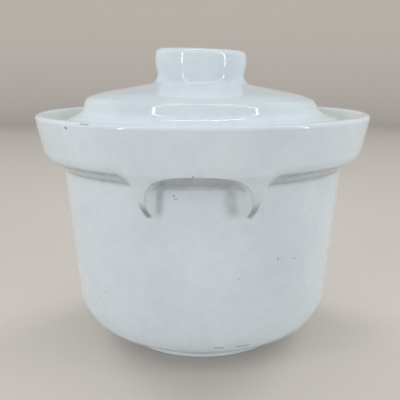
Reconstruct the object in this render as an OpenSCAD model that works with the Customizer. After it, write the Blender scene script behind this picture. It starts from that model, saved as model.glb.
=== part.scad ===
// Lidded pot in white glazed ceramic, in millimetres, with +Z up.
// The origin is on the table, under the middle of the foot, and one handle faces -Y.
// Outlines are lists of [radius, height, rounding] corners that are turned about the Z axis.

/* [Bowl] */
// Outside diameter of the wall at the neck, where it meets the rim collar
neck_d = 185; // [160:0.5:188]
// Height of the neck above the table
neck_h = 118; // [90:0.5:140]
// Lean of the wall outwards, from upright
wall_lean = 4.8; // [2:0.1:8]
// Thickness of the wall
wall_t = 6; // [4:0.25:8]
// Thickness of the floor over the foot
floor_t = 7; // [5:0.25:10]
// Outside radius of the heel, where the wall turns into the base
heel_r = 23; // [12:0.5:26]
// Slope of the base from the foot out to the heel, above level
base_slope = 26.5; // [15:0.5:32]

/* [Foot] */
// Outside diameter of the foot ring
foot_d = 113; // [90:0.5:122]
// Width of the foot ring's standing face
foot_w = 6; // [4:0.25:12]
// Height of the foot ring
foot_h = 3.7; // [2.5:0.1:8]
// Rounding of the foot ring's lower edges
foot_edge_r = 0.9; // [0.4:0.1:1.5]

/* [Rim collar] */
// Reach of the lip outwards from the neck, on each side
collar_reach = 16.5; // [14:0.25:22]
// Height of the collar, from the neck up to the lip
collar_h = 33.5; // [28:0.5:45]
// Lean of the collar's outer face outwards, from upright
collar_lean = 12; // [8:0.5:16]
// Slope of the collar's underside from the neck outwards, above level
collar_slope = 34.5; // [25:0.5:42]
// Rounding of the collar's lower edge
collar_edge_r = 10.4; // [5:0.1:13]
// Width of the lip between its two corners, before they are rounded
lip_w = 6.2; // [5:0.1:7]
// Rounding of the lip's two corners
lip_r = 2.4; // [1:0.1:2.5]

/* [Gallery for the lid] */
// Depth of the ledge that the lid rests on, below the lip
gallery_depth = 9.5; // [7:0.25:14]
// Room round the lid's brim, out to the gallery's wall
gallery_gap = 9; // [4:0.25:11]
// Rounding in the gallery's corner
gallery_r = 4; // [1:0.25:5]
// Rounding of the mouth's edge, inside the ledge
mouth_edge_r = 1.5; // [0.5:0.25:2.5]

/* [Handle ribs] */
// Angle from the middle of a handle to the tip of each of its two ribs
rib_angle = 17.5; // [14:0.5:26]
// Turn of a rib's sides outwards, from the line to the pot's axis
rib_splay = 20; // [5:1:25]
// Drop of a rib's tip below the neck
rib_drop = 19.5; // [14:0.5:28]
// Width of a rib at its tip
rib_tip_w = 1.6; // [1:0.1:4]
// Width of a rib where it meets the collar, from the line of its inner side
rib_top_w = 10.5; // [6:0.25:14]
// Radius of the arch between a rib's inner side and the collar
arch_r = 24; // [8:0.5:26]

/* [Lid] */
// Reach of the lid's brim on to the ledge, past the mouth
brim_reach = 5; // [3:0.25:8]
// Thickness of the brim at its edge
brim_t = 4.2; // [3:0.1:6]
// Rounding of the brim's edge
brim_edge_r = 1.6; // [0.5:0.1:2]
// Slope of the brim from its edge in to the flare, above level
brim_slope = 18; // [14:0.5:28]
// Lean of the flare inwards, from upright
flare_lean = 24; // [15:0.5:32]
// Rounding where the brim turns up into the flare
flare_r = 8; // [3:0.5:10]
// Distance of the shoulder in from the brim's edge
shoulder_inset = 16.3; // [12:0.1:18]
// Height of the shoulder above the ledge
shoulder_h = 18.5; // [14:0.1:24]
// Rounding of the shoulder
shoulder_r = 5.5; // [3:0.5:12]
// Distance from the shoulder in to the break in the dome's slope
dome_break = 10.6; // [8:0.1:16]
// Slope of the dome outside the break
dome_outer_slope = 18; // [14:0.5:24]
// Slope of the dome inside the break
dome_inner_slope = 10.4; // [6:0.2:13]
// Rounding of the break in the dome's slope
dome_r = 60; // [20:5:80]
// Thickness of the lid
lid_t = 5; // [3.5:0.25:6]
// Gap all round between the locating ring and the mouth
ring_gap = 1.6; // [0.8:0.1:2.5]
// Thickness of the locating ring
ring_t = 4.8; // [3.5:0.1:6]
// Depth of the locating ring below the ledge
ring_h = 8; // [5:0.5:14]

/* [Knob] */
// Outside diameter of the knob's waist
waist_d = 57.4; // [40:0.2:66]
// Height of the collar on the dome that carries the knob
waist_h = 5.5; // [4:0.25:8]
// Rounding where that collar meets the dome
waist_r = 6; // [2:0.25:7]
// Wall of the hollow knob
knob_t = 5; // [3.5:0.25:6]
// Swell of the knob's side beyond the waist
knob_swell = 1.55; // [0.6:0.05:3]
// Height of the widest part above the waist
knob_swell_h = 6.4; // [5:0.2:9]
// Height of the knob above the waist
knob_h = 15.8; // [13:0.2:24]
// Draw-in of the knob's top edge from its widest part
knob_draw = 0.6; // [0:0.05:1.2]
// Rounding of the knob's top edge
knob_edge_r = 3.75; // [1:0.25:4]
// Rounding of the knob's widest part
knob_side_r = 15; // [5:1:25]

/* [Hidden] */
$fn = 128;
arc_steps = 10;
glaze = "#dfe8ea";
bare_clay = "#e6dfd2";

// Heights of the faces that the pieces share
rim_z = neck_h + collar_h;
seat_z = rim_z - gallery_depth;
floor_z = foot_h + floor_t;

// Radii of the mouth and of what fits in it
neck_r = neck_d / 2;
mouth_r = neck_r - wall_t / cos(wall_lean);
brim_r = mouth_r + brim_reach;
ring_r = mouth_r - ring_gap;
foot_r = foot_d / 2;

// Corners of the bowl's outside
foot_corner = [foot_r, foot_h];
neck_corner = [neck_r, neck_h];
heel_corner = crossing(foot_corner, base_slope, neck_corner, 90 - wall_lean);

// Corners of the collar; the lip's outer corner allows for what its rounding takes off
lip_overshoot = lip_r * (1 / cos(collar_lean) + tan(collar_lean) - 1);
lip_corner = [neck_r + collar_reach + lip_overshoot, rim_z];
edge_corner = crossing(neck_corner, collar_slope, lip_corner, 90 - collar_lean);
gallery_corner = [brim_r + gallery_gap, seat_z];
ledge_edge = gallery_corner - [gallery_r, 0];
collar_corners = [
    neck_corner,
    with_r(edge_corner, collar_edge_r),
    with_r(lip_corner, lip_r),
    with_r(lip_corner - [lip_w, 0], lip_r),
    with_r(gallery_corner, gallery_r),
    ledge_edge
];
edge_arc = corner_arc(collar_corners, 1);

// A rib leaves the collar part of the way round its rounded lower edge and runs down to a tip on the wall
root_step = 3;
rib_root = edge_arc[root_step];
rib_tip = neck_corner - rib_drop * [tan(wall_lean), 1];

// Corners of the lid's outside, from the brim in to the knob
brim_corner = [brim_r, seat_z + brim_t];
shoulder_corner = [brim_r - shoulder_inset, seat_z + shoulder_h];
flare_corner = crossing(brim_corner, -brim_slope, shoulder_corner, 90 + flare_lean);
break_corner = shoulder_corner + dome_break * [-1, tan(dome_outer_slope)];
waist_x = waist_d / 2;
waist_foot = break_corner + (break_corner[0] - waist_x) * [-1, tan(dome_inner_slope)];
waist_z = waist_foot[1] + waist_h;
knob_top_z = waist_z + knob_h;

function unit(v) = v / norm(v);

function left_of(a, b) = let (d = unit(b - a)) [-d[1], d[0]];

// The corner b of the path a, b, c, when the path moves a distance to its left
function moved(a, b, c, distance) =
    let (m = left_of(a, b), n = left_of(b, c))
    b + distance * (m + n) / (1 + m * n);

// Where the line through p at one angle meets the line through q at another
function crossing(p, p_angle, q, q_angle) =
    let (u = [cos(p_angle), sin(p_angle)], v = [cos(q_angle), sin(q_angle)], d = q - p)
    p + u * (d[0] * v[1] - d[1] * v[0]) / (u[0] * v[1] - u[1] * v[0]);

// The arc that rounds the corner b of the path a, b, c, within its share of each edge
function rounded(a, b, c, radius, a_share, c_share) =
    let (
        u = unit(a - b),
        v = unit(c - b),
        half = acos(u * v) / 2,
        tangent = min(radius / tan(half), a_share * norm(a - b), c_share * norm(c - b)),
        r = tangent * tan(half),
        centre = b + unit(u + v) * r / sin(half),
        from = b + u * tangent - centre,
        start = atan2(from[1], from[0]),
        sweep = (180 - 2 * half) * sign(v[0] * u[1] - v[1] * u[0])
    )
    [for (i = [0:arc_steps]) let (t = start + sweep * i / arc_steps) centre + r * [cos(t), sin(t)]];

function with_r(p, radius) = [p[0], p[1], radius];

function place(corner) = [corner[0], corner[1]];

function is_sharp(corner) = len(corner) < 3;

// A rounding has all of an edge whose other end is sharp, and half of one whose other end is rounded
function edge_share(other_end) = is_sharp(other_end) ? 0.98 : 0.49;

// The points at one corner of a closed outline, whose corners are [x, y] or [x, y, rounding]
function corner_arc(corners, i) =
    let (
        n = len(corners),
        last = corners[(i + n - 1) % n],
        this = corners[i],
        next = corners[(i + 1) % n]
    )
    is_sharp(this)
        ? [this]
        : rounded(place(last), place(this), place(next), this[2], edge_share(last), edge_share(next));

function outline(corners) = [for (i = [0:len(corners) - 1]) each corner_arc(corners, i)];

module turned(corners) {
    rotate_extrude()
        polygon(outline(corners));
}

// Wall and floor of the pot, one thickness all the way down the wall and round the heel
module pot_bowl() {
    heel_inside = moved(foot_corner, heel_corner, neck_corner, wall_t);
    floor_edge = crossing([0, floor_z], 0, heel_inside, base_slope);
    color(glaze)
        turned([
            [0, foot_h],
            foot_corner,
            with_r(heel_corner, heel_r),
            neck_corner,
            [mouth_r, neck_h],
            with_r(heel_inside, heel_r - wall_t),
            with_r(floor_edge, heel_r),
            [0, floor_z]
        ]);
}

// Ring under the floor that the pot stands on
module foot_ring() {
    color(bare_clay)
        turned([
            [foot_r - foot_w, 0, foot_edge_r],
            [foot_r, 0, foot_edge_r],
            [foot_r, foot_h],
            [foot_r - foot_w, foot_h]
        ]);
}

// Ring on top of the wall whose upper face is the ledge that the lid rests on
module lid_ledge() {
    color(glaze)
        turned([
            [mouth_r, neck_h],
            neck_corner,
            ledge_edge,
            [mouth_r, seat_z, mouth_edge_r]
        ]);
}

// Deep overhanging band round the ledge, which rises past it to the lip
module rim_collar() {
    color(glaze)
        turned(collar_corners);
}

// Tapering rib under the collar, on the front right of the pot
module rib() {
    root_z = rib_root[1];
    tip_z = rib_tip[1];
    top_z = edge_arc[arc_steps][1];
    reach = rib_root[0] - rib_tip[0] + rib_top_w + arch_r;
    section = concat([rib_tip, neck_corner], [for (i = [0:root_step]) edge_arc[i]]);
    arch_centre = [-arch_r, root_z - arch_r];
    arch = [
        for (i = [root_step:arc_steps])
        let (a = 90 * (1 - i / arc_steps))
        arch_centre + arch_r * [cos(a), sin(a)]
    ];
    foot_edge = [[0, tip_z], [rib_tip_w, tip_z]];
    outer_edge = [[rib_top_w, root_z], [rib_top_w, top_z]];
    face = concat(foot_edge, outer_edge, [[arch[0][0], top_z]], arch);
    color(glaze)
        intersection() {
            rotate_extrude()
                polygon(section);
            translate([rib_tip[0] * sin(rib_angle), -rib_tip[0] * cos(rib_angle), 0])
                rotate([90, 0, rib_angle + rib_splay])
                linear_extrude(2 * reach, center = true)
                polygon(face);
        }
}

module front_right_rib() {
    rib();
}

module front_left_rib() {
    mirror([1, 0, 0])
        rib();
}

module back_left_rib() {
    rotate([0, 0, 180])
        rib();
}

module back_right_rib() {
    mirror([0, 1, 0])
        rib();
}

// Domed lid, open in the middle under the knob, which stands on a short collar
module lid_shell() {
    bore = waist_x - knob_t;
    dome_inside = moved(shoulder_corner, break_corner, waist_foot, lid_t);
    shoulder_inside = moved(flare_corner, shoulder_corner, break_corner, lid_t);
    crown_inside = crossing(dome_inside, 180 - dome_inner_slope, [bore, 0], 90);
    brim_inside = crossing(shoulder_inside, 90 + flare_lean, [0, seat_z], 0);
    color(glaze)
        turned([
            brim_inside,
            [brim_r, seat_z, brim_edge_r],
            with_r(brim_corner, brim_edge_r),
            with_r(flare_corner, flare_r),
            with_r(shoulder_corner, shoulder_r),
            with_r(break_corner, dome_r),
            with_r(waist_foot, waist_r),
            [waist_x, waist_z],
            [bore, waist_z],
            crown_inside,
            with_r(dome_inside, dome_r - lid_t),
            with_r(shoulder_inside, max(shoulder_r - lid_t, brim_edge_r))
        ]);
}

// Ring under the brim that drops into the mouth and keeps the lid in the middle
module lid_locating_ring() {
    ring_bottom = seat_z - ring_h;
    color(glaze)
        turned([
            [ring_r - ring_t, ring_bottom, brim_edge_r],
            [ring_r, ring_bottom, brim_edge_r],
            [ring_r, seat_z],
            [ring_r - ring_t, seat_z]
        ]);
}

// Broad hollow knob, open below, on the lid's collar
module lid_knob() {
    bore = waist_x - knob_t;
    top_x = waist_x + knob_swell - knob_draw;
    color(glaze)
        turned([
            [0, knob_top_z - knob_t],
            [bore, knob_top_z - knob_t, knob_edge_r],
            [bore, waist_z],
            [waist_x, waist_z],
            [waist_x + knob_swell, waist_z + knob_swell_h, knob_side_r],
            [top_x, knob_top_z, knob_edge_r],
            [0, knob_top_z]
        ]);
}

pot_bowl();
foot_ring();
lid_ledge();
rim_collar();
front_left_rib();
front_right_rib();
back_left_rib();
back_right_rib();
lid_shell();
lid_locating_ring();
lid_knob();
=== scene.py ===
import math

import bmesh
import bpy
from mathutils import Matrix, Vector


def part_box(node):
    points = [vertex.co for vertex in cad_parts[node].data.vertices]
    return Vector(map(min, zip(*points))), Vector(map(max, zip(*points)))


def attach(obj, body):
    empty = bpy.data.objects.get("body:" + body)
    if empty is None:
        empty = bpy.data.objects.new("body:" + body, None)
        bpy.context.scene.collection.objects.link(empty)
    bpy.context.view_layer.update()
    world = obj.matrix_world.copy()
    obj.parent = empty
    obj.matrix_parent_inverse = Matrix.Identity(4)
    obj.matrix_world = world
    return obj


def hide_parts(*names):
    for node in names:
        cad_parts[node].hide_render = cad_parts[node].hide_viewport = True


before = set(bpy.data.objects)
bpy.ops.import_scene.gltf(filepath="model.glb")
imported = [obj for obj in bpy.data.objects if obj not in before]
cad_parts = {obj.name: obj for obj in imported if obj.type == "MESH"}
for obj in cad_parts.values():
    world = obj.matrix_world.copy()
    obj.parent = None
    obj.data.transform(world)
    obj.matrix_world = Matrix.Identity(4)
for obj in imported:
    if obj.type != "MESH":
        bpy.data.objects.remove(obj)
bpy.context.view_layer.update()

# Pot: wall, floor, ledge for the lid, overhanging rim collar and four handle ribs, in white clay.
# It is fired in one piece under one coat of glaze, so it is one skin here. Its inside corners are
# darkened with painted shade, and the glaze is drawn thin on every edge.
MM = 0.001
_, foot_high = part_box("foot_ring")
bowl_low, bowl_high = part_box("pot_bowl")
_, collar_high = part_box("rim_collar")
_, ledge_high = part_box("lid_ledge")
rib_low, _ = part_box("front_right_rib")
foot_r = foot_high.x
base_z = bowl_low.z
neck_r = bowl_high.x
neck_z = bowl_high.z
rim_r = collar_high.x
rim_z = collar_high.z
seat_z = ledge_high.z

wall_t = 6 * MM
floor_t = 7 * MM
wall_lean = math.radians(4.8)
collar_lean = math.radians(11.95)
heel_z = 17.4 * MM
heel_x = neck_r - (neck_z - heel_z) * math.tan(wall_lean)
edge_z = 126 * MM
lip_overshoot = 0.56 * MM
lip_x = rim_r + lip_overshoot
edge_x = lip_x - (rim_z - edge_z) * math.tan(collar_lean)
lip_w = 6.2 * MM
gallery_x = 100.5 * MM
mouth_r = neck_r - wall_t / math.cos(wall_lean)
inner_heel_z = 21.4 * MM
inner_heel_x = mouth_r - (neck_z - inner_heel_z) * math.tan(wall_lean)
floor_edge_x = 56.8 * MM
floor_z = base_z + floor_t
tip_z = rib_low.z + 0.9 * MM
root_z = edge_z + 4.1 * MM
root_r = edge_x + 4.1 * MM * math.tan(collar_lean)
rib_zone_low = tip_z - 4 * MM

# Each corner of the section has its radius, its height, its rounding, and the steps in that.
pot_section = [
    (0, base_z, 0, 0),
    (foot_r, base_z, 0.6 * MM, 3),
    (heel_x, heel_z, 23 * MM, 14),
    (neck_r - (neck_z - rib_zone_low) * math.tan(wall_lean), rib_zone_low, 0, 0),
    (neck_r, neck_z, 1.8 * MM, 5),
    (edge_x, edge_z, 10.4 * MM, 14),
    (lip_x, rim_z, 2.4 * MM, 8),
    (lip_x - lip_w, rim_z, 2.4 * MM, 8),
    (gallery_x, seat_z, 4 * MM, 6),
    (mouth_r, seat_z, 1.5 * MM, 5),
    (mouth_r, neck_z, 0, 0),
    (inner_heel_x, inner_heel_z, 17 * MM, 10),
    (floor_edge_x, floor_z, 23 * MM, 6),
    (0, floor_z, 0, 0),
]


def rounded_section(bm, section, start_angle=0.0, closed=False):
    """Draws a section as edges in an upright half plane from the Z axis, and rounds its corners."""
    across = Vector((math.cos(start_angle), math.sin(start_angle), 0))
    up = Vector((0, 0, 1))
    points = [across * x + up * z for x, z, rounding, steps in section]
    verts = [bm.verts.new(p) for p in points]
    for a, b in zip(verts, verts[1:]):
        bm.edges.new((a, b))
    if closed:
        bm.edges.new((verts[-1], verts[0]))
    for i, (x, z, rounding, steps) in enumerate(section):
        if steps:
            before = points[i - 1] - points[i]
            after = points[(i + 1) % len(points)] - points[i]
            tangent = rounding / math.tan(before.angle(after) / 2)
            bmesh.ops.bevel(
                bm, geom=[verts[i]], offset=tangent, segments=steps, profile=0.5,
                affect="VERTICES", material=-1, clamp_overlap=False,
            )


def divide_long_edges(bm, longest):
    """Cuts every edge of a section into pieces no longer than longest(middle of the edge)."""
    for edge in list(bm.edges):
        limit = longest((edge.verts[0].co + edge.verts[1].co) / 2)
        cuts = math.ceil(edge.calc_length() / limit) - 1
        if cuts > 0:
            bmesh.ops.subdivide_edges(bm, edges=[edge], cuts=cuts)


def turn(bm, sectors):
    """Turns the section about the Z axis, by sectors of (angle, steps) that make a full circle."""
    last = list(bm.verts) + list(bm.edges)
    for angle, steps in sectors:
        spun = bmesh.ops.spin(
            bm, geom=last, cent=(0, 0, 0), axis=(0, 0, 1), angle=math.radians(angle), steps=steps
        )
        last = spun["geom_last"]
    bmesh.ops.remove_doubles(bm, verts=bm.verts, dist=0.01 * MM)
    bmesh.ops.recalc_face_normals(bm, faces=bm.faces)


# A rib springs from the wall at a blunt tip, widens upwards and runs on into the collar's front.
# Its inner edge is an arch, inside which a bevel for the fingers faces forward and a steep side
# falls to the wall. Dirt sits on the tips; painted shade lies on the crests, down the sides and
# under the collar.
tip_r = neck_r - (neck_z - tip_z) * math.tan(wall_lean)
tip_t = 0.8 * MM
tip_outer_x = 28.5 * MM
tip_round = 4.2 * MM
tip_hook = 3.6 * MM
arch_x = 29.4 * MM
arch_z = 107.5 * MM
arch_h = 17 * MM
outer_spread = 0.25
outer_slope = 1.3
outer_round = 2.2 * MM
outer_fillet = 2 * MM
flare_start_z = 116 * MM
flare_bend = 0.048 / MM
crest_rounding = 0.5 * MM
rib_fillet = 0.8 * MM
left_bevel_x, left_side_w = 25.2 * MM, 4.5 * MM
right_bevel_x, right_side_w = 23.4 * MM, 8 * MM
crest_share, bevel_share, side_share = 0.06, 0.36, 0.58
crest_w = 0.7 * MM
gap_rounding = 1 * MM
root_blend_h = 8 * MM
tip_dirt_top_z = 110 * MM
gap_soft_shade_z = 107 * MM
gap_shade_z = 115 * MM
edge_line_z = 123.2 * MM
outside_r = neck_r - wall_t + 2 * MM


def soft_step(distance, rounding):
    """The part of a distance above zero, with the corner at zero rounded."""
    return (distance + math.sqrt(distance * distance + rounding * rounding)) / 2


def ease(share):
    """A smooth rise from 0 to 1."""
    t = min(max(share, 0), 1)
    return t * t * (3 - 2 * t)


def hump(distance, width):
    """A smooth hump of height 1, for a stain of that half width."""
    return math.exp(-((distance / width) ** 2))


def rib_front(z):
    """Radius of a rib's front, which runs down from the collar's face and bows in to the tip."""
    slope = math.tan(collar_lean)
    full_drop = root_z - tip_z
    bow = (root_r - full_drop * slope - tip_r - tip_t) / full_drop ** 2
    drop = root_z - z
    return root_r - drop * slope - bow * drop ** 2


def rib_edges(z):
    """Distances of a rib's inner and outer edge from the middle of its handle."""
    if z < arch_z:
        inner = arch_x - tip_hook * ((arch_z - z) / (arch_z - tip_z)) ** 2
    else:
        inner = arch_x * (1 - min((z - arch_z) / arch_h, 1) ** 3) ** (1 / 3)
    h = max(z - tip_z, 0)
    flare = flare_bend * max(z - flare_start_z, 0) ** 2
    outer = tip_outer_x + tip_round * (1 - math.exp(-h / tip_round)) + outer_spread * h + flare
    return inner, outer


def raise_ribs(bm):
    """Pushes the pot's outside out to the ribs of both handles, and stores painted shade round them
    and dirt on their tips.
    """
    shade_and_grime = bm.verts.layers.float.new("shade_and_grime")
    for vert in bm.verts:
        x, y, z = vert.co
        r = math.hypot(x, y)
        if r < outside_r or not rib_zone_low < z < root_z:
            continue
        front = rib_front(z)
        depth = max(front - r, 0)
        inner, outer = rib_edges(z)
        across = abs(x) / r * front
        bevel_x, side_w = (left_bevel_x, left_side_w) if x < 0 else (right_bevel_x, right_side_w)
        bevel_w = max(inner - bevel_x, 0.5 * MM)
        inside = soft_step(inner - across, crest_rounding)
        past_bevel = inside - bevel_w
        crest_fall = crest_share * ease(inside / crest_w)
        bevel_fall = bevel_share * min(inside / bevel_w, 1)
        side_fall = side_share * ease(past_bevel / side_w)
        scoop = depth * (crest_fall + bevel_fall + side_fall)
        scoop += soft_step(past_bevel - side_w, gap_rounding)
        outer_fall = outer_slope * soft_step(across - outer + outer_round, outer_round)
        fillet = rib_fillet + outer_fillet * ease((across - inner) / (outer - inner + 1 * MM))
        fillet *= ease((root_z - z) / root_blend_h)
        new_r = r + soft_step(front - scoop - outer_fall - r, fillet)
        vert.co.x *= new_r / r
        vert.co.y *= new_r / r

        # Painted shade: a line along the crest, a band down the steep side, shade in the gap and
        # under the collar beside the ribs, and lines at the neck and below the collar's edge.
        raised = min(depth / (3 * MM), 1)
        crest_shade = 0.3 * hump(across - inner, 0.35 * MM) * raised
        side_shade = 0.42 * hump(past_bevel - 0.65 * side_w, 0.5 * side_w) * raised
        on_tip = ease((across - inner) / (0.8 * MM) + 1) * ease((outer - across) / MM + 0.6)
        tip_end_z = tip_z + 0.4 * abs(across - tip_outer_x)
        near_tip = ease((tip_dirt_top_z - z) / (7 * MM)) * ease((z - tip_end_z) / MM + 0.8)
        tip_dirt = 0.8 * on_tip * near_tip
        in_gap = ease((inner - across) / (4 * MM))
        under_collar = ease((edge_z - z) / (2 * MM))
        gap_soft_shade = 0.14 * ease((z - gap_soft_shade_z) / (9 * MM))
        gap_shade = 0.34 * ease((z - gap_shade_z) / (1.8 * MM))
        gap_painted_shade = in_gap * under_collar * (gap_soft_shade + gap_shade)
        beside = ease((across - outer) / (3 * MM))
        collar_shade = 0.36 * under_collar * ease((z - neck_z) / MM + 1.2)
        neck_line = 0.22 * hump(z - neck_z + 0.8 * MM, 1.2 * MM)
        edge_line = 0.25 * hump(z - edge_line_z, 1.1 * MM)
        collar_painted_shade = beside * (collar_shade + neck_line + edge_line)
        vert[shade_and_grime] = max(crest_shade, side_shade, tip_dirt, gap_painted_shade, collar_painted_shade)


rib_row_pitch = 0.9 * MM
plain_row_pitch = 7 * MM


def pot_row_pitch(middle):
    """Longest step between the rows of the pot's mesh, which is short where the ribs are raised."""
    outside = math.hypot(middle.x, middle.y) > outside_r
    if outside and rib_zone_low < middle.z < root_z:
        return rib_row_pitch
    return plain_row_pitch


# Sectors of (angle, steps) from the middle of one side round to the middle of the other.
side_sector = (116, 48)
rib_sector = (22, 96)
gap_sector = (20, 12)
half_round = [side_sector, rib_sector, gap_sector, rib_sector]
bm = bmesh.new()
rounded_section(bm, pot_section, start_angle=math.radians(-side_sector[0] / 2))
divide_long_edges(bm, pot_row_pitch)
turn(bm, half_round + half_round)
raise_ribs(bm)


def store_bends(bm, crease_shade):
    """Stores how sharply the surface bends out, in 1/mm, and adds painted shade where it bends in.
    """
    bend_out = bm.verts.layers.float.new("bend_out")
    shade_and_grime = bm.verts.layers.float.get("shade_and_grime") or bm.verts.layers.float.new("shade_and_grime")
    bm.normal_update()
    for vert in bm.verts:
        bend = 0
        for edge in vert.link_edges:
            d = edge.other_vert(vert).co - vert.co
            bend -= 2 * vert.normal.dot(d) / d.length_squared * MM / len(vert.link_edges)
        vert[bend_out] = max(bend, 0)
        vert[shade_and_grime] = max(vert[shade_and_grime], crease_shade * ease((-bend - 0.1) / 0.25))


def finished_piece(bm, name, crease_shade):
    """Makes a smooth-shaded object of a bmesh."""
    store_bends(bm, crease_shade)
    mesh = bpy.data.meshes.new(name)
    bm.to_mesh(mesh)
    bm.free()
    mesh.shade_smooth()
    piece = bpy.data.objects.new(name, mesh)
    bpy.context.scene.collection.objects.link(piece)
    return piece


# The pot's inside corners are darkened with painted shade.
pot = finished_piece(bm, "pot", crease_shade=0.3)


def linear(hex_colour):
    """The linear RGBA of an sRGB hex colour."""
    channels = [int(hex_colour[i:i + 2], 16) / 255 for i in (1, 3, 5)]
    return [c / 12.92 if c <= 0.04045 else ((c + 0.055) / 1.055) ** 2.4 for c in channels] + [1]


def add_node(tree, kind, inputs=(), **settings):
    """Adds a shader node with its settings; an input takes a value, or an output to link to it."""
    node = tree.nodes.new(kind)
    for name, value in settings.items():
        setattr(node, name, value)
    for name, value in dict(inputs).items():
        if isinstance(value, bpy.types.NodeSocket):
            tree.links.new(value, node.inputs[name])
        else:
            node.inputs[name].default_value = value
    return node


# The three sockets of a colour mix that share their names with others of the node.
MIX_A, MIX_B, MIX_RESULT = 6, 7, 2


def white_glaze(name, body, cloud, thin, painted_light_colour, painted_light_low, painted_light_high, marks=()):
    """White tin glaze, dipped and fired glossy: a hard clear shine, a little rippled and smeared,
    over a cool white with faint clouds and mottling. It is painted lighter low on the piece as
    painted light, is pale on edges, and has pinholes, dark marks where given, and grey painted shade
    and dirt."""
    material = bpy.data.materials.new(name)
    material.use_nodes = True
    tree = material.node_tree
    tree.nodes.clear()
    coords = add_node(tree, "ShaderNodeTexCoord").outputs["Object"]

    cloud_width = 45 * MM
    clouds = add_node(
        tree, "ShaderNodeTexNoise",
        {"Vector": coords, "Scale": 1 / cloud_width, "Detail": 3, "Roughness": 0.5},
    ).outputs["Fac"]
    cloud_mask = add_node(
        tree, "ShaderNodeMapRange",
        {"Value": clouds, "From Min": 0.35, "From Max": 0.65},
    ).outputs["Result"]
    tint = add_node(
        tree, "ShaderNodeMix", {"Factor": cloud_mask, MIX_A: linear(body), MIX_B: linear(cloud)},
        data_type="RGBA",
    ).outputs[MIX_RESULT]

    # Painted light: the tint is lightened towards the bottom of the piece, fading out upwards
    # between the two given heights.
    height = add_node(tree, "ShaderNodeSeparateXYZ", {"Vector": coords}).outputs["Z"]
    painted_light_mask = add_node(
        tree, "ShaderNodeMapRange",
        {"Value": height, "From Min": painted_light_low, "From Max": painted_light_high, "To Min": 0.9, "To Max": 0},
    ).outputs["Result"]
    tint = add_node(
        tree, "ShaderNodeMix", {"Factor": painted_light_mask, MIX_A: tint, MIX_B: linear(painted_light_colour)},
        data_type="RGBA",
    ).outputs[MIX_RESULT]

    mottle_width = 7 * MM
    mottle = add_node(
        tree, "ShaderNodeTexNoise",
        {"Vector": coords, "Scale": 1 / mottle_width, "Detail": 5, "Roughness": 0.7},
    ).outputs["Fac"]
    mottle_mask = add_node(
        tree, "ShaderNodeMapRange",
        {"Value": mottle, "From Min": 0.4, "From Max": 0.75, "To Max": 0.22},
    ).outputs["Result"]
    tint = add_node(
        tree, "ShaderNodeMix", {"Factor": mottle_mask, MIX_A: tint, MIX_B: linear("#b9c1c6")},
        data_type="RGBA",
    ).outputs[MIX_RESULT]

    bend_out = add_node(tree, "ShaderNodeAttribute", attribute_name="bend_out").outputs["Fac"]
    edge_mask = add_node(
        tree, "ShaderNodeMapRange",
        {"Value": bend_out, "From Min": 0.08, "From Max": 0.4, "To Max": 0.6},
    ).outputs["Result"]
    tint = add_node(
        tree, "ShaderNodeMix", {"Factor": edge_mask, MIX_A: tint, MIX_B: linear(thin)},
        data_type="RGBA",
    ).outputs[MIX_RESULT]

    pinhole_spacing = 31 * MM
    pinholes = add_node(
        tree, "ShaderNodeTexVoronoi",
        {"Vector": coords, "Scale": 1 / pinhole_spacing, "Randomness": 1},
    ).outputs["Distance"]
    pinhole_mask = add_node(
        tree, "ShaderNodeMapRange",
        {"Value": pinholes, "From Min": 0.012, "From Max": 0.022, "To Min": 0.8, "To Max": 0},
    ).outputs["Result"]
    tint = add_node(
        tree, "ShaderNodeMix", {"Factor": pinhole_mask, MIX_A: tint, MIX_B: linear("#4c4a46")},
        data_type="RGBA",
    ).outputs[MIX_RESULT]

    for place, size in marks:
        away = add_node(
            tree, "ShaderNodeVectorMath", {0: coords, 1: place}, operation="DISTANCE",
        ).outputs["Value"]
        mark_mask = add_node(
            tree, "ShaderNodeMapRange",
            {"Value": away, "From Min": 0.4 * size, "From Max": size, "To Min": 0.75, "To Max": 0},
        ).outputs["Result"]
        tint = add_node(
            tree, "ShaderNodeMix", {"Factor": mark_mask, MIX_A: tint, MIX_B: linear("#6a6662")},
            data_type="RGBA",
        ).outputs[MIX_RESULT]

    # Painted shade, with dirt on the rib tips: the mesh's attribute darkens the tint towards grey,
    # patchy with noise.
    shade_and_grime = add_node(tree, "ShaderNodeAttribute", attribute_name="shade_and_grime").outputs["Fac"]
    shade_and_grime_width = 6 * MM
    shade_and_grime_patches = add_node(
        tree, "ShaderNodeTexNoise",
        {"Vector": coords, "Scale": 1 / shade_and_grime_width, "Detail": 4, "Roughness": 0.6},
    ).outputs["Fac"]
    shade_and_grime_strength = add_node(
        tree, "ShaderNodeMapRange",
        {"Value": shade_and_grime_patches, "From Min": 0.3, "From Max": 0.7, "To Min": 0.6, "To Max": 1},
    ).outputs["Result"]
    shade_and_grime_mask = add_node(
        tree, "ShaderNodeMath", {0: shade_and_grime, 1: shade_and_grime_strength}, operation="MULTIPLY",
    ).outputs["Value"]
    tint = add_node(
        tree, "ShaderNodeMix", {"Factor": shade_and_grime_mask, MIX_A: tint, MIX_B: linear("#5f5b57")},
        data_type="RGBA",
    ).outputs[MIX_RESULT]

    smear_width = 14 * MM
    smears = add_node(
        tree, "ShaderNodeTexNoise",
        {"Vector": coords, "Scale": 1 / smear_width, "Detail": 5, "Roughness": 0.65},
    ).outputs["Fac"]
    gloss = add_node(
        tree, "ShaderNodeMapRange",
        {"Value": smears, "From Min": 0.3, "From Max": 0.75, "To Min": 0.03, "To Max": 0.08},
    ).outputs["Result"]

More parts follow.
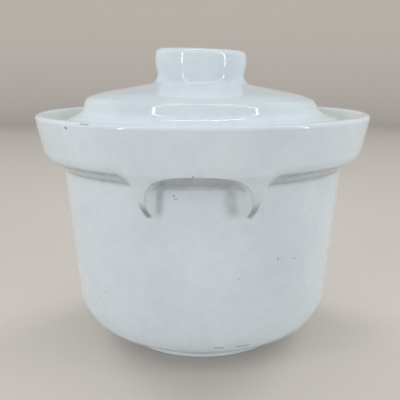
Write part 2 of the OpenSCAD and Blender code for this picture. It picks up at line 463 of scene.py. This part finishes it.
    ripple_width = 22 * MM
    ripples = add_node(
        tree, "ShaderNodeTexNoise",
        {"Vector": coords, "Scale": 1 / ripple_width, "Detail": 1.5, "Roughness": 0.4},
    ).outputs["Fac"]
    surface = add_node(
        tree, "ShaderNodeBump", {"Height": ripples, "Strength": 0.35, "Distance": 0.25 * MM},
    ).outputs["Normal"]

    shader = add_node(
        tree, "ShaderNodeBsdfPrincipled",
        {"Base Color": tint, "Roughness": gloss, "Normal": surface, "IOR": 1.52},
    )
    add_node(tree, "ShaderNodeOutputMaterial", {"Surface": shader.outputs["BSDF"]})
    return material


# Small marks of firing and of use, in rows of dots: distance from the axis, height, the angles
# from the middle of the front handle at which a row starts and ends, its dots, and their radius.
pot_marks = []
for r, z, start, end, dots, size in (
    (103.8, 125.2, -1.5, -1.5, 1, 0.7),
    (92.0, 112.6, -8.4, -8.4, 1, 0.7),
    (91.9, 110.9, -7.6, -8.2, 2, 0.5),
    (88.7, 72.8, 30.4, 30.4, 1, 0.7),
    (87.9, 63.7, 14.7, 14.7, 1, 0.5),
    (86.6, 47.4, -41.2, -41.2, 1, 0.6),
    (85.1, 30.1, -38.0, -38.0, 1, 0.5),
    (108.6, 150.6, -35.2, -32.2, 7, 0.6),
    (108.8, 147.8, -42.0, -41.6, 2, 1.0),
    (80.7, 18.5, 6.3, 9.9, 7, 0.9),
    (80.5, 18.2, 16.0, 21.4, 10, 0.9),
):
    for i in range(dots):
        angle = math.radians(start + (end - start) * i / max(dots - 1, 1))
        place = Vector((r * math.sin(angle), -r * math.cos(angle), z)) * MM
        pot_marks.append((place, size * MM))

# Both glazes of the pot are painted lighter low down, fully below 15 mm and fading out by 30 mm:
# painted light on the heel, which faces down into shade.
heel_light_low, heel_light_high = 15 * MM, 30 * MM
pot_glaze = white_glaze(
    "white_pot_glaze", body="#d0dce3", cloud="#d7e2e8", thin="#eef2f5", painted_light_colour="#e6f2fa",
    painted_light_low=heel_light_low, painted_light_high=heel_light_high, marks=pot_marks,
)
pot.data.materials.append(pot_glaze)

# Inside the lip the same coat has fired creamier, which shows in the gap beside the lid.
inside_glaze = white_glaze(
    "cream_inside_glaze", body="#d0d3cf", cloud="#d6d8d4", thin="#dedcd6", painted_light_colour="#dedcd5",
    painted_light_low=heel_light_low, painted_light_high=heel_light_high,
)
pot.data.materials.append(inside_glaze)
for face in pot.data.polygons:
    x, y, z = face.center
    r = math.hypot(x, y)
    faces_axis = face.normal.x * x + face.normal.y * y < -0.2 * r
    faces_up = face.normal.z > 0.7
    if r < lip_x - lip_w and (faces_axis or faces_up):
        face.material_index = 1
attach(pot, "pot")
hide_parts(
    "pot_bowl", "lid_ledge", "rim_collar",
    "front_left_rib", "front_right_rib", "back_left_rib", "back_right_rib",
)

# Foot ring: the low ring that the pot stands on, turned in one with the base.
# Its sides are glazed and painted lighter, as painted light, and its standing face is ground bare
# after the firing. Painted shade darkens the crease where it meets the pot.
foot_w = 6 * MM
foot_edge_r = 1.4 * MM
crease_w = 1.1 * MM
ground_z = 0.3 * MM
foot_section = [
    (foot_r - foot_w, 0, foot_edge_r, 4),
    (foot_r, 0, foot_edge_r, 4),
    (foot_r, base_z - crease_w, 0, 0),
    (foot_r, base_z, 0, 0),
    (foot_r - foot_w, base_z, 0, 0),
]
bm = bmesh.new()
rounded_section(bm, foot_section, closed=True)
turn(bm, [(360, 180)])
foot_crease_shade = bm.verts.layers.float.new("shade_and_grime")
# Painted shade along the crease at the top of the foot.
for vert in bm.verts:
    vert[foot_crease_shade] = 0.85 * ease((vert.co.z - base_z) / crease_w + 1)
for face in bm.faces:
    if face.calc_center_median().z < ground_z:
        face.material_index = 1
foot = finished_piece(bm, "pot_foot", crease_shade=0)
foot.data.materials.append(pot_glaze)

# Fired clay, ground flat: matt and creamy, with a fine sandy grain and grey rub marks.
clay = bpy.data.materials.new("bare_fired_clay")
clay.use_nodes = True
clay_tree = clay.node_tree
clay_tree.nodes.clear()
clay_coords = add_node(clay_tree, "ShaderNodeTexCoord").outputs["Object"]
sand_width = 0.8 * MM
sand = add_node(
    clay_tree, "ShaderNodeTexNoise", {"Vector": clay_coords, "Scale": 1 / sand_width, "Detail": 4},
).outputs["Fac"]
clay_tint = add_node(
    clay_tree, "ShaderNodeMix",
    {"Factor": sand, MIX_A: linear("#c9bda9"), MIX_B: linear("#e6dfd0")},
    data_type="RGBA",
).outputs[MIX_RESULT]
rub_width = 9 * MM
rubs = add_node(
    clay_tree, "ShaderNodeTexNoise", {"Vector": clay_coords, "Scale": 1 / rub_width, "Detail": 5},
).outputs["Fac"]
rub_mask = add_node(
    clay_tree, "ShaderNodeMapRange",
    {"Value": rubs, "From Min": 0.5, "From Max": 0.7, "To Max": 0.5},
).outputs["Result"]
clay_tint = add_node(
    clay_tree, "ShaderNodeMix", {"Factor": rub_mask, MIX_A: clay_tint, MIX_B: linear("#8d867c")},
    data_type="RGBA",
).outputs[MIX_RESULT]
clay_surface = add_node(
    clay_tree, "ShaderNodeBump", {"Height": sand, "Strength": 0.5, "Distance": 0.1 * MM},
).outputs["Normal"]
clay_shader = add_node(
    clay_tree, "ShaderNodeBsdfPrincipled",
    {"Base Color": clay_tint, "Roughness": 0.85, "Normal": clay_surface},
)
add_node(clay_tree, "ShaderNodeOutputMaterial", {"Surface": clay_shader.outputs["BSDF"]})
foot.data.materials.append(clay)
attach(foot, "pot")
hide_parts("foot_ring")

# Lid: brim, flare, dome and hollow knob, with the ring below that keeps it in the mouth.
# It is cast in one with its knob, glazed like the pot, and only lies on the pot's ledge.
_, shell_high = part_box("lid_shell")
ring_low, ring_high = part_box("lid_locating_ring")
_, knob_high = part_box("lid_knob")
brim_r = shell_high.x
ring_r = ring_high.x
ring_z = ring_low.z
knob_z = knob_high.z
knob_r = knob_high.x
ring_t = 4.8 * MM
brim_t = 4.2 * MM
brim_edge_r = 1.6 * MM
flare_x = 79 * MM
flare_z = seat_z + 10 * MM
shoulder_x = 75.2 * MM
shoulder_z = seat_z + 18.5 * MM
break_x = 64.6 * MM
break_z = seat_z + 21.95 * MM
waist_x = 28.7 * MM
waist_foot_z = seat_z + 28.55 * MM
waist_z = seat_z + 34.05 * MM
swell_x = knob_r + 0.05 * MM
swell_z = waist_z + 6.4 * MM
knob_top_x = knob_r - 0.55 * MM
knob_t = 5 * MM
lid_t = 5 * MM
inner_flare_x = flare_x - 1.1 * MM
inner_shoulder_x = shoulder_x - 3.7 * MM
inner_shoulder_z = shoulder_z - 4.1 * MM
inner_break_x = break_x - 1.3 * MM
inner_break_z = break_z - lid_t + 0.1 * MM
crown_z = waist_foot_z - lid_t + 0.8 * MM
lid_section = [
    (0, knob_z, 0, 0),
    (knob_top_x, knob_z, 3.75 * MM, 8),
    (swell_x, swell_z, 15 * MM, 8),
    (waist_x, waist_z, 6 * MM, 4),
    (waist_x, waist_foot_z, 5.5 * MM, 10),
    (break_x, break_z, 60 * MM, 8),
    (shoulder_x, shoulder_z, 5.5 * MM, 10),
    (flare_x, flare_z, 8 * MM, 8),
    (brim_r, seat_z + brim_t, brim_edge_r, 5),
    (brim_r, seat_z, brim_edge_r, 5),
    (ring_r, seat_z, 0.8 * MM, 3),
    (ring_r, ring_z, brim_edge_r, 5),
    (ring_r - ring_t, ring_z, brim_edge_r, 5),
    (ring_r - ring_t, seat_z, 1 * MM, 3),
    (inner_flare_x, seat_z, 1 * MM, 3),
    (inner_shoulder_x, inner_shoulder_z, 6 * MM, 6),
    (inner_break_x, inner_break_z, 30 * MM, 4),
    (waist_x - knob_t, crown_z, 3 * MM, 4),
    (waist_x - knob_t, knob_z - knob_t, 4 * MM, 5),
    (0, knob_z - knob_t, 0, 0),
]
lid_row_pitch = 6 * MM
bm = bmesh.new()
rounded_section(bm, lid_section)
divide_long_edges(bm, lambda middle: lid_row_pitch)
turn(bm, [(360, 240)])

# The dome and its knob came out of the kiln leaning a little to the right, over a level brim.
dome_lean = math.radians(0.64)
knob_lean = math.radians(1.9)
dome_shift = -1.3 * MM
for vert in bm.verts:
    z = vert.co.z
    above_brim = ease((z - seat_z - brim_t) / (shoulder_z - seat_z - brim_t))
    up_knob = ease((z - waist_foot_z) / (knob_z - waist_foot_z))
    lean = dome_lean + (knob_lean - dome_lean) * up_knob
    vert.co.z -= vert.co.x * math.tan(lean) * above_brim
    vert.co.x += (dome_shift + (z - shoulder_z) * math.tan(dome_lean)) * above_brim
lid = finished_piece(bm, "lid", crease_shade=0)
# The lid's glaze is the pot's, painted a shade lighter, and is painted lighter still on the brim
# from 7 to 14 mm above the seat, where the lip shades it: both are painted light.
lid_glaze = white_glaze(
    "white_lid_glaze", body="#d2dde3", cloud="#d9e3e8", thin="#eef2f5", painted_light_colour="#e6f2fa",
    painted_light_low=seat_z + 7 * MM, painted_light_high=seat_z + 14 * MM,
)
lid.data.materials.append(lid_glaze)
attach(lid, "lid")
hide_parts("lid_shell", "lid_locating_ring", "lid_knob")

# Floor and backdrop: one pale sheet of matt card that lies flat and sweeps up behind the object.
floor_half_w = 3
floor_front_y = -3
sweep_start_y = 1.6
sweep_r = 0.5
sweep_top_z = 0.7
bm = bmesh.new()
sweep = [
    bm.verts.new((-floor_half_w, floor_front_y, 0)),
    bm.verts.new((-floor_half_w, sweep_start_y + sweep_r, 0)),
    bm.verts.new((-floor_half_w, sweep_start_y + sweep_r, sweep_top_z)),
]
for a, b in zip(sweep, sweep[1:]):
    bm.edges.new((a, b))
bmesh.ops.bevel(
    bm, geom=[sweep[1]], offset=sweep_r, segments=24, profile=0.5, affect="VERTICES", material=-1,
    clamp_overlap=False,
)
sheet = bmesh.ops.extrude_edge_only(bm, edges=bm.edges)
moved = [v for v in sheet["geom"] if isinstance(v, bmesh.types.BMVert)]
bmesh.ops.translate(bm, verts=moved, vec=(2 * floor_half_w, 0, 0))
bmesh.ops.recalc_face_normals(bm, faces=bm.faces)
floor_mesh = bpy.data.meshes.new("floor")
bm.to_mesh(floor_mesh)
bm.free()
floor_mesh.shade_smooth()
floor = bpy.data.objects.new("floor", floor_mesh)
bpy.context.scene.collection.objects.link(floor)

# Matt card: an even, warm and pale ground without a shine, with a fine fibre in its colour.
card = bpy.data.materials.new("pale_matt_card")
card.use_nodes = True
card_tree = card.node_tree
card_tree.nodes.clear()
card_coords = add_node(card_tree, "ShaderNodeTexCoord").outputs["Object"]
card_fibre = 3 * MM
card_grain = add_node(
    card_tree, "ShaderNodeTexNoise", {"Vector": card_coords, "Scale": 1 / card_fibre, "Detail": 3}
).outputs["Fac"]
card_tint = add_node(
    card_tree, "ShaderNodeMix",
    {"Factor": card_grain, MIX_A: linear("#d2cac2"), MIX_B: linear("#d8d0c9")},
    data_type="RGBA",
).outputs[MIX_RESULT]
card_shader = add_node(
    card_tree, "ShaderNodeBsdfPrincipled", {"Base Color": card_tint, "Roughness": 0.8},
)
add_node(card_tree, "ShaderNodeOutputMaterial", {"Surface": card_shader.outputs["BSDF"]})
floor_mesh.materials.append(card)

# Light: an even pale surround, soft daylight from four sides, and three thin lit bars that draw the
# fine bright outlines on the knob and on the lid's shoulder.
world = bpy.data.worlds.new("studio")
world.use_nodes = True
world.node_tree.nodes["Background"].inputs["Color"].default_value = linear("#f1f4f6")
world.node_tree.nodes["Background"].inputs["Strength"].default_value = 0.42
bpy.context.scene.world = world


def add_light(lamp, place, aim, mirrored):
    """Sets a lamp at a place, aimed at a point; unless mirrored, it leaves no image in the glaze."""
    light = bpy.data.objects.new(lamp.name, lamp)
    light.location = place
    light.rotation_euler = (Vector(aim) - Vector(place)).to_track_quat("-Z", "Y").to_euler()
    light.visible_camera = False
    light.visible_glossy = mirrored
    bpy.context.scene.collection.objects.link(light)


for name, place, strength in (
    ("front_left_daylight", (-1.31, -0.92, 0.22), 0.95),
    ("front_right_daylight", (1.31, -0.92, 0.22), 0.8),
    ("back_left_daylight", (-1, 1, 0.65), 1.3),
    ("back_right_daylight", (1, 1, 0.65), 1.2),
):
    daylight = bpy.data.lights.new(name, "SUN")
    daylight.energy = strength
    daylight.angle = math.radians(35)
    add_light(daylight, place, (0, 0, 0), mirrored=False)

bar_w = 0.017
bar_low = 0.1
bar_top = 0.95
bar_middle = (bar_low + bar_top) / 2
bar_length = bar_top - bar_low
left_bar_x, right_bar_x = -0.295, 0.36
top_bar_w = 0.05
top_bar_x = (left_bar_x + right_bar_x) / 2
top_bar_y = -0.01
top_bar_length = right_bar_x - left_bar_x
for name, place, aim, width, length, power in (
    ("left_bar", (left_bar_x, -0.3, bar_middle), (0, 0, bar_middle), bar_w, bar_length, 0.55),
    ("right_bar", (right_bar_x, -0.2, bar_middle), (0, 0, bar_middle), bar_w, bar_length, 0.55),
    ("top_bar", (top_bar_x, top_bar_y, bar_top), (top_bar_x, top_bar_y, 0),
     top_bar_length, top_bar_w, 1),
):
    bar = bpy.data.lights.new(name, "AREA")
    bar.shape = "RECTANGLE"
    bar.size = width
    bar.size_y = length
    bar.energy = power
    add_light(bar, place, aim, mirrored=True)

# Camera: a little above the lip, looking down on the handle, as the photograph was taken.
photo_width = 400
focal_pixels = 577.4
view_distance = 393.2 * MM
view_height = 177.15 * MM
view_pitch = math.radians(12.45)
view_azimuth = math.radians(1.1)
aim_left = math.radians(0.228)
lens = bpy.data.cameras.new("photo_camera")
lens.sensor_width = 36
lens.lens = lens.sensor_width * focal_pixels / photo_width
lens.clip_start = 0.01
camera = bpy.data.objects.new("photo_camera", lens)
camera.location = (
    view_distance * math.sin(view_azimuth), -view_distance * math.cos(view_azimuth), view_height,
)
camera.rotation_euler = (math.pi / 2 - view_pitch, 0, view_azimuth + aim_left)
bpy.context.scene.collection.objects.link(camera)
bpy.context.scene.camera = camera
bpy.context.scene.view_settings.view_transform = "Standard"
